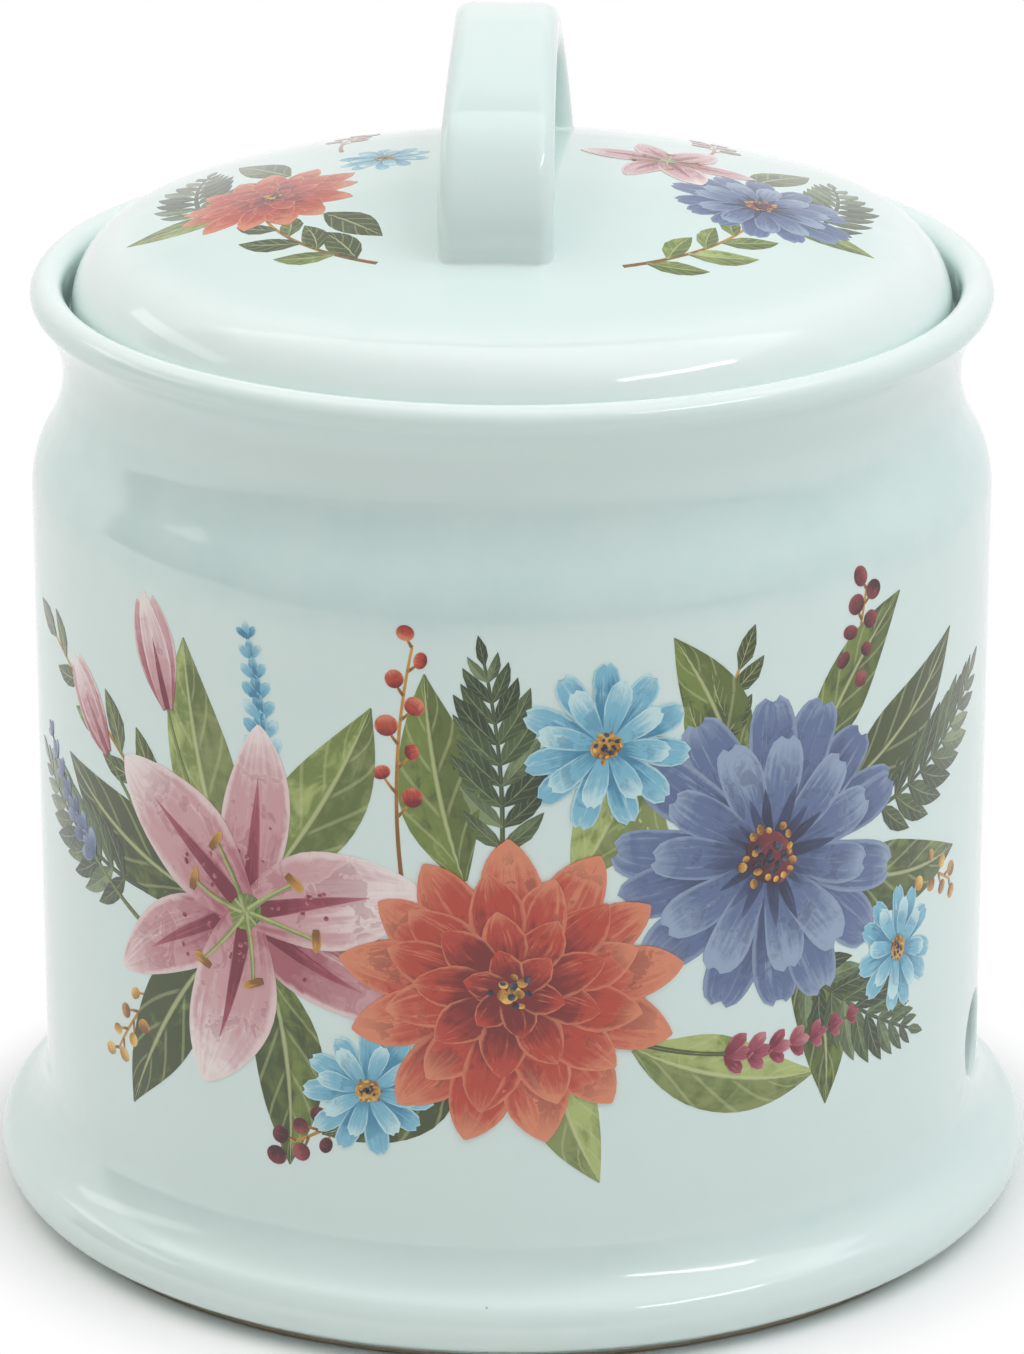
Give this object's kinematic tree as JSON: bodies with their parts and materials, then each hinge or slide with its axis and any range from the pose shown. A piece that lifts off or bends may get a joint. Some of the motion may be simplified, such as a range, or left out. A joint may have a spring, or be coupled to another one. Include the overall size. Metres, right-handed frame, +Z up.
{
  "type": "onion keeper",
  "caption": "Round glazed stoneware onion keeper: straight crock on a flared foot, vents low in its wall, drawn-in neck, and a domed lift-off lid with a strap handle.",
  "frame": {"origin": "on the table at the centre of the resting ring under the crock", "axes": "+Z up through the centre of crock and lid; the strap handle lies along Y; the vents face +X"},
  "size_m": [0.1808, 0.1808, 0.2072],
  "materials": {
    "crock_glaze": "glossy pale aqua glaze",
    "lid_glaze": "glossy pale aqua glaze"
  },
  "bodies": {
    "crock": {"crock": "crock_glaze"},
    "lid": {"lid": "lid_glaze", "lid_handle": "lid_glaze"}
  },
  "joints": [
    {"name": "lid_lift", "type": "slide", "parent": "crock", "child": "lid", "axis": [0, 0, 1], "range_m": [0, 0.12]}
  ]
}
